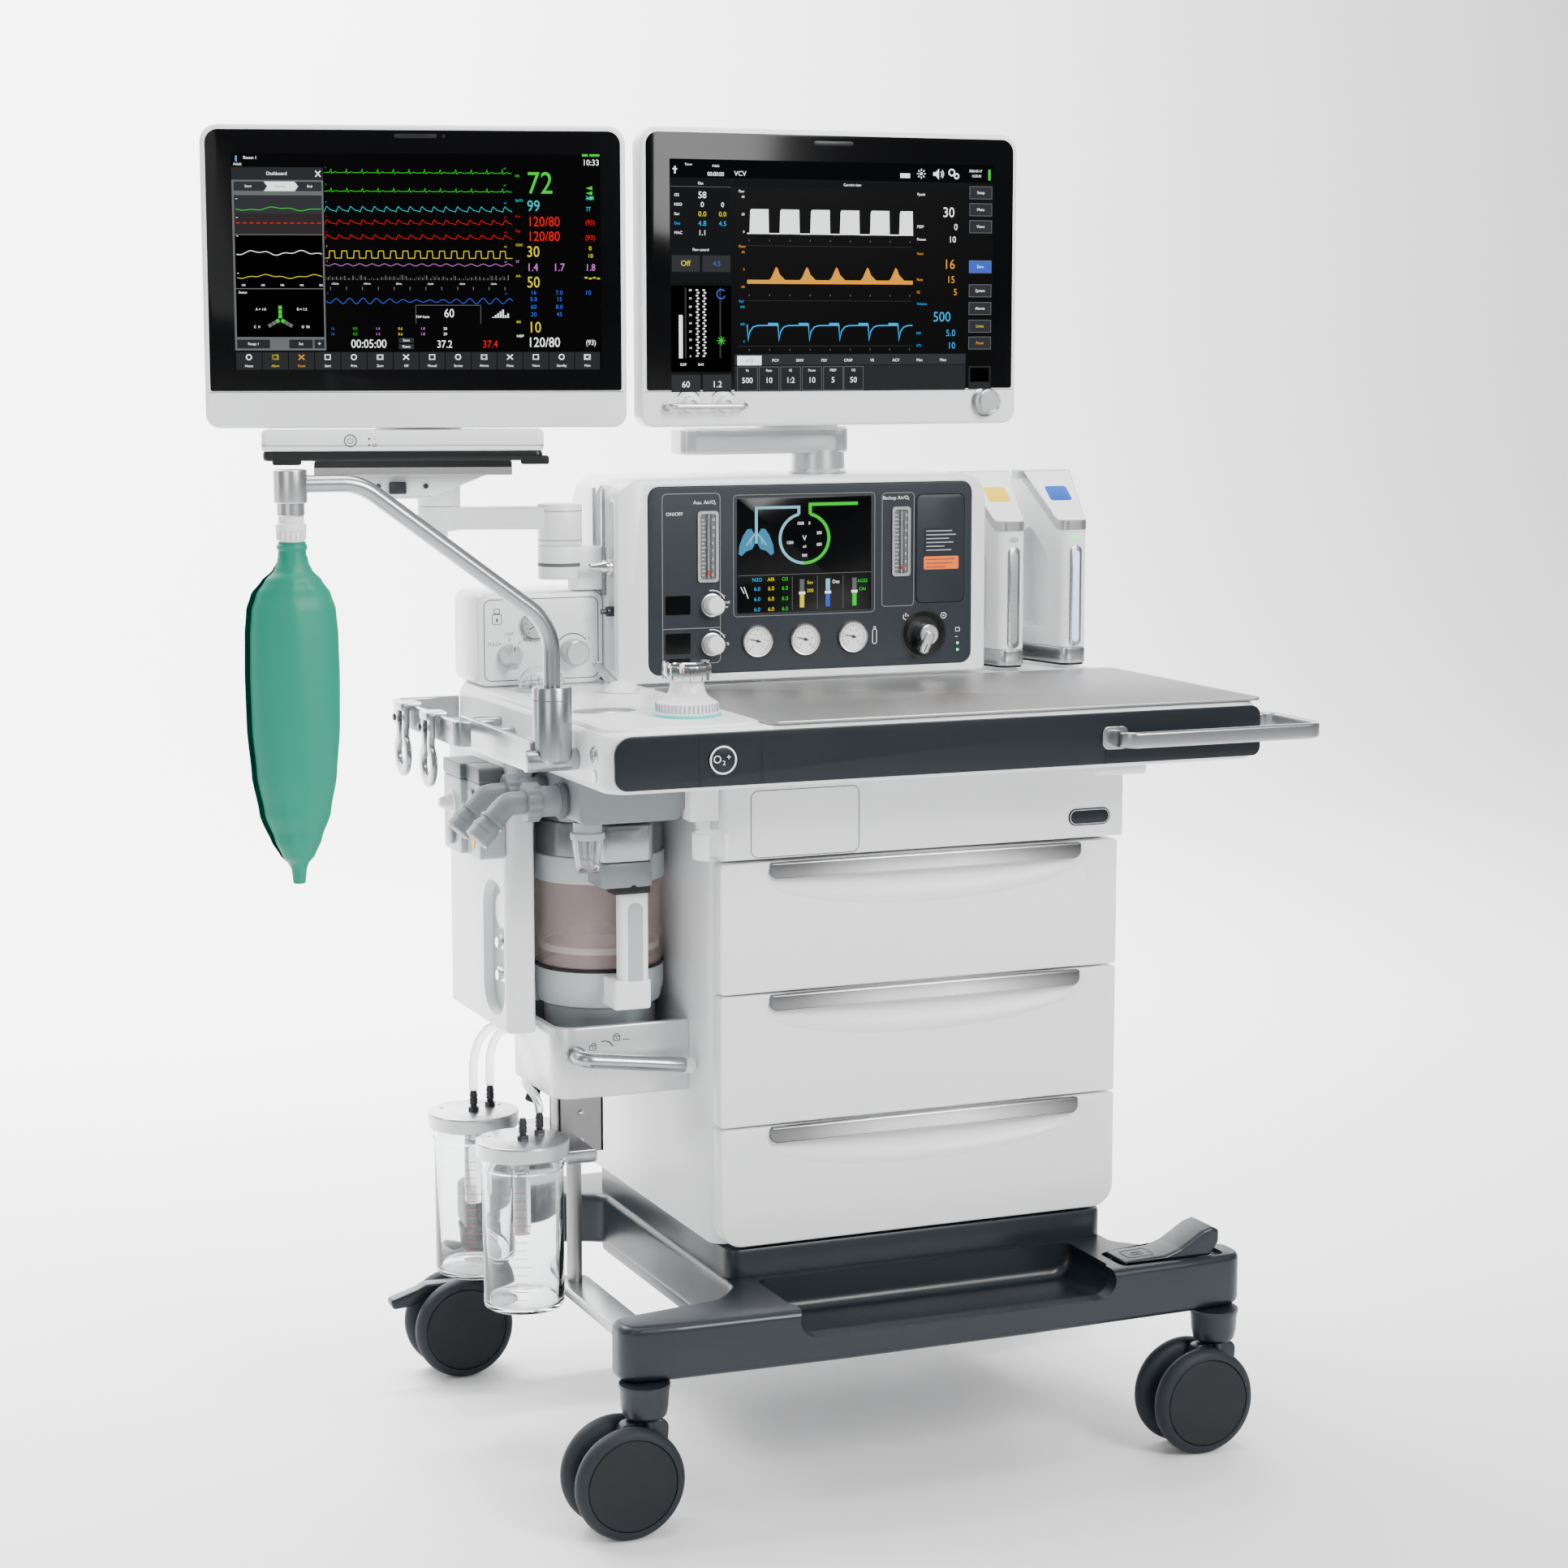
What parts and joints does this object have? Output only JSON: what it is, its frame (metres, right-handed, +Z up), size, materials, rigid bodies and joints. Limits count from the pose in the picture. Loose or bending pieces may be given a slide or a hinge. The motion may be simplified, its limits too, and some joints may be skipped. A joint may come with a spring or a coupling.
{
  "type": "anesthesia machine",
  "caption": "Wheeled anesthesia workstation with drawer cabinet, worktop, absorber, breathing bag, suction jars, vaporizers and swivelling monitors on arms.",
  "frame": {"origin": "centre of the whole object's bounding box, on the floor", "axes": "+X to the user's right, +Y towards the machine's back, +Z up; the user stands at -Y"},
  "size_m": [1.1955, 0.7135, 1.521],
  "materials": {
    "white_plastic": "satin",
    "white_paint": "satin",
    "slate_paint": "satin",
    "slate_panel": "satin",
    "stainless": "brushed",
    "silver": "satin",
    "tyre_grey": "matte",
    "block_grey": "satin",
    "clear": "clear",
    "green_rubber": "satin"
  },
  "bodies": {
    "frame": {"base_frame": "slate_paint", "cabinet_shell": "white_paint", "table_frame": "white_plastic", "worktop_plate": "stainless", "front_band": "slate_panel", "table_handle": "silver", "status_housing": "white_plastic", "status_panel": "slate_panel", "suction_box": "white_plastic", "breathing_block": "block_grey", "gas_tower": "white_paint", "gas_modules": "white_plastic", "absorber_head": "silver", "absorber_tray": "silver", "side_rail": "silver", "hose_rail": "silver", "suction_stand": "silver", "suction_jar_front": "clear", "suction_jar_rear": "clear", "jar_lid_front": "silver", "jar_lid_rear": "silver", "suction_hose_rear_a": "clear", "suction_hose_rear_b": "clear", "suction_hose_front": "clear"},
    "caster_front_left": {"caster_fork_front_left": "slate_paint"},
    "wheel_front_left": {"wheels_front_left": "tyre_grey"},
    "caster_front_right": {"caster_fork_front_right": "slate_paint"},
    "wheel_front_right": {"wheels_front_right": "tyre_grey"},
    "caster_rear_left": {"caster_fork_rear_left": "slate_paint"},
    "wheel_rear_left": {"wheels_rear_left": "tyre_grey"},
    "caster_rear_right": {"caster_fork_rear_right": "slate_paint"},
    "wheel_rear_right": {"wheels_rear_right": "tyre_grey"},
    "pedal": {"brake_pedal": "slate_paint"},
    "drawer_bottom_body": {"drawer_bottom": "white_paint"},
    "drawer_middle_body": {"drawer_middle": "white_paint"},
    "drawer_top_body": {"drawer_top": "white_paint"},
    "flush_button": {"oxygen_flush_button": "white_plastic"},
    "knob_total": {"flow_knob_total": "white_plastic"},
    "knob_oxygen": {"flow_knob_oxygen": "white_plastic"},
    "switch": {"master_switch": "silver"},
    "door": {"backup_door": "slate_panel"},
    "selector": {"suction_selector": "white_plastic"},
    "regulator": {"suction_regulator": "white_plastic"},
    "vaporizer_l": {"vaporizer_left": "white_plastic"},
    "vaporizer_r": {"vaporizer_right": "white_plastic"},
    "apl": {"apl_knob": "silver"},
    "vent_lever": {"bag_vent_lever": "block_grey"},
    "elbow_f": {"hose_elbow_front": "block_grey"},
    "elbow_r": {"hose_elbow_rear": "block_grey"},
    "lock_handle": {"tray_lock_handle": "silver"},
    "absorber": {"absorber_canister": "clear", "absorber_base": "block_grey"},
    "bag_arm_body": {"bag_arm": "silver", "breathing_bag": "green_rubber"},
    "left_link": {"left_link_arm": "white_paint"},
    "left_head": {"left_monitor_base": "white_plastic", "left_monitor": "white_plastic"},
    "right_arm": {"right_monitor_arm": "silver"},
    "right_head": {"right_monitor": "white_plastic"},
    "knob_monitor": {"monitor_knob": "silver"}
  },
  "joints": [
    {"name": "caster_swivel_front_left", "type": "hinge", "parent": "frame", "child": "caster_front_left", "pos_m": [-0.19675, -0.27925, 0.12], "axis": [0, 0, 1], "continuous": true},
    {"name": "wheel_spin_front_left", "type": "hinge", "parent": "caster_front_left", "child": "wheel_front_left", "pos_m": [-0.22275, -0.27925, 0.0625], "axis": [0, 1, 0], "continuous": true},
    {"name": "caster_swivel_front_right", "type": "hinge", "parent": "frame", "child": "caster_front_right", "pos_m": [0.51025, -0.27925, 0.12], "axis": [0, 0, 1], "continuous": true},
    {"name": "wheel_spin_front_right", "type": "hinge", "parent": "caster_front_right", "child": "wheel_front_right", "pos_m": [0.48425, -0.27925, 0.0625], "axis": [0, 1, 0], "continuous": true},
    {"name": "caster_swivel_rear_left", "type": "hinge", "parent": "frame", "child": "caster_rear_left", "pos_m": [-0.19675, 0.32075, 0.12], "axis": [0, 0, 1], "continuous": true},
    {"name": "wheel_spin_rear_left", "type": "hinge", "parent": "caster_rear_left", "child": "wheel_rear_left", "pos_m": [-0.22275, 0.32075, 0.0625], "axis": [0, 1, 0], "continuous": true},
    {"name": "caster_swivel_rear_right", "type": "hinge", "parent": "frame", "child": "caster_rear_right", "pos_m": [0.51025, 0.32075, 0.12], "axis": [0, 0, 1], "continuous": true},
    {"name": "wheel_spin_rear_right", "type": "hinge", "parent": "caster_rear_right", "child": "wheel_rear_right", "pos_m": [0.48425, 0.32075, 0.0625], "axis": [0, 1, 0], "continuous": true},
    {"name": "brake_pedal_rock", "type": "hinge", "parent": "frame", "child": "pedal", "pos_m": [0.45525, -0.25225, 0.228], "axis": [0, 1, 0], "range_deg": [0, 8]},
    {"name": "drawer_slide_bottom", "type": "slide", "parent": "frame", "child": "drawer_bottom_body", "axis": [0, -1, 0], "range_m": [0, 0.3]},
    {"name": "drawer_slide_middle", "type": "slide", "parent": "frame", "child": "drawer_middle_body", "axis": [0, -1, 0], "range_m": [0, 0.3]},
    {"name": "drawer_slide_top", "type": "slide", "parent": "frame", "child": "drawer_top_body", "axis": [0, -1, 0], "range_m": [0, 0.3]},
    {"name": "oxygen_flush_press", "type": "slide", "parent": "frame", "child": "flush_button", "axis": [0, 1, 0], "range_m": [0, 0.0025], "stiffness_N_per_m": 800},
    {"name": "flow_knob_total_turn", "type": "hinge", "parent": "frame", "child": "knob_total", "pos_m": [0.02025, 0.05675, 0.973], "axis": [0, 1, 0], "range_deg": [0, 300]},
    {"name": "flow_knob_oxygen_turn", "type": "hinge", "parent": "frame", "child": "knob_oxygen", "pos_m": [0.02025, 0.05675, 0.927], "axis": [0, 1, 0], "range_deg": [0, 300]},
    {"name": "master_switch_turn", "type": "hinge", "parent": "frame", "child": "switch", "pos_m": [0.29425, 0.06075, 0.93], "axis": [0, 1, 0], "range_deg": [0, 50]},
    {"name": "backup_door_hinge", "type": "hinge", "parent": "frame", "child": "door", "pos_m": [0.34725, 0.06415, 1.032], "axis": [0, 0, 1], "range_deg": [0, 90]},
    {"name": "suction_selector_turn", "type": "hinge", "parent": "frame", "child": "selector", "pos_m": [-0.21275, 0.10475, 0.918], "axis": [0, 1, 0], "range_deg": [-60, 60]},
    {"name": "suction_regulator_turn", "type": "hinge", "parent": "frame", "child": "regulator", "pos_m": [-0.13575, 0.10075, 0.92], "axis": [0, 1, 0], "range_deg": [0, 300]},
    {"name": "vaporizer_lift_left", "type": "slide", "parent": "frame", "child": "vaporizer_l", "axis": [0, 0, 1], "range_m": [0, 0.05]},
    {"name": "vaporizer_lift_right", "type": "slide", "parent": "frame", "child": "vaporizer_r", "axis": [0, 0, 1], "range_m": [0, 0.05]},
    {"name": "apl_knob_turn", "type": "hinge", "parent": "frame", "child": "apl", "pos_m": [-0.12375, -0.22625, 0.93], "axis": [0, 0, 1], "range_deg": [0, 270]},
    {"name": "bag_vent_lever_turn", "type": "hinge", "parent": "frame", "child": "vent_lever", "pos_m": [-0.11275, 0.01475, 0.89], "axis": [0, 0, 1], "range_deg": [0, 60]},
    {"name": "elbow_turn_front", "type": "hinge", "parent": "frame", "child": "elbow_f", "pos_m": [-0.26275, -0.11225, 0.78], "axis": [1, 0, 0], "range_deg": [-15, 15]},
    {"name": "elbow_turn_rear", "type": "hinge", "parent": "frame", "child": "elbow_r", "pos_m": [-0.26275, -0.04125, 0.78], "axis": [1, 0, 0], "range_deg": [-15, 15]},
    {"name": "tray_lock_turn", "type": "hinge", "parent": "frame", "child": "lock_handle", "pos_m": [-0.19875, -0.07825, 0.482], "axis": [0, 1, 0], "range_deg": [0, 90]},
    {"name": "absorber_lower", "type": "slide", "parent": "frame", "child": "absorber", "axis": [0, 0, -1], "range_m": [0, 0.012]},
    {"name": "bag_arm_swing", "type": "hinge", "parent": "frame", "child": "bag_arm_body", "pos_m": [-0.27575, -0.22425, 0.919], "axis": [0, 0, 1], "range_deg": [-20, 60]},
    {"name": "left_link_swing", "type": "hinge", "parent": "frame", "child": "left_link", "pos_m": [-0.14575, 0.12575, 1.07], "axis": [0, 0, 1], "range_deg": [-20, 0]},
    {"name": "left_monitor_swing", "type": "hinge", "parent": "left_link", "child": "left_head", "pos_m": [-0.27775, 0.17075, 1.1], "axis": [0, 0, 1], "range_deg": [-30, 0]},
    {"name": "right_arm_swing", "type": "hinge", "parent": "frame", "child": "right_arm", "pos_m": [0.18925, 0.14575, 1.121], "axis": [0, 0, 1], "range_deg": [0, 25]},
    {"name": "right_monitor_tilt", "type": "hinge", "parent": "right_arm", "child": "right_head", "pos_m": [0.16825, 0.13275, 1.3], "axis": [1, 0, 0], "range_deg": [-15, 5]},
    {"name": "monitor_knob_turn", "type": "hinge", "parent": "right_head", "child": "knob_monitor", "pos_m": [0.36625, 0.04275, 1.207], "axis": [0, 1, 0], "continuous": true}
  ],
  "couplings": [
    {"joint": "absorber_lower", "follows": "tray_lock_turn", "m_per_rad": 0.0076}
  ]
}
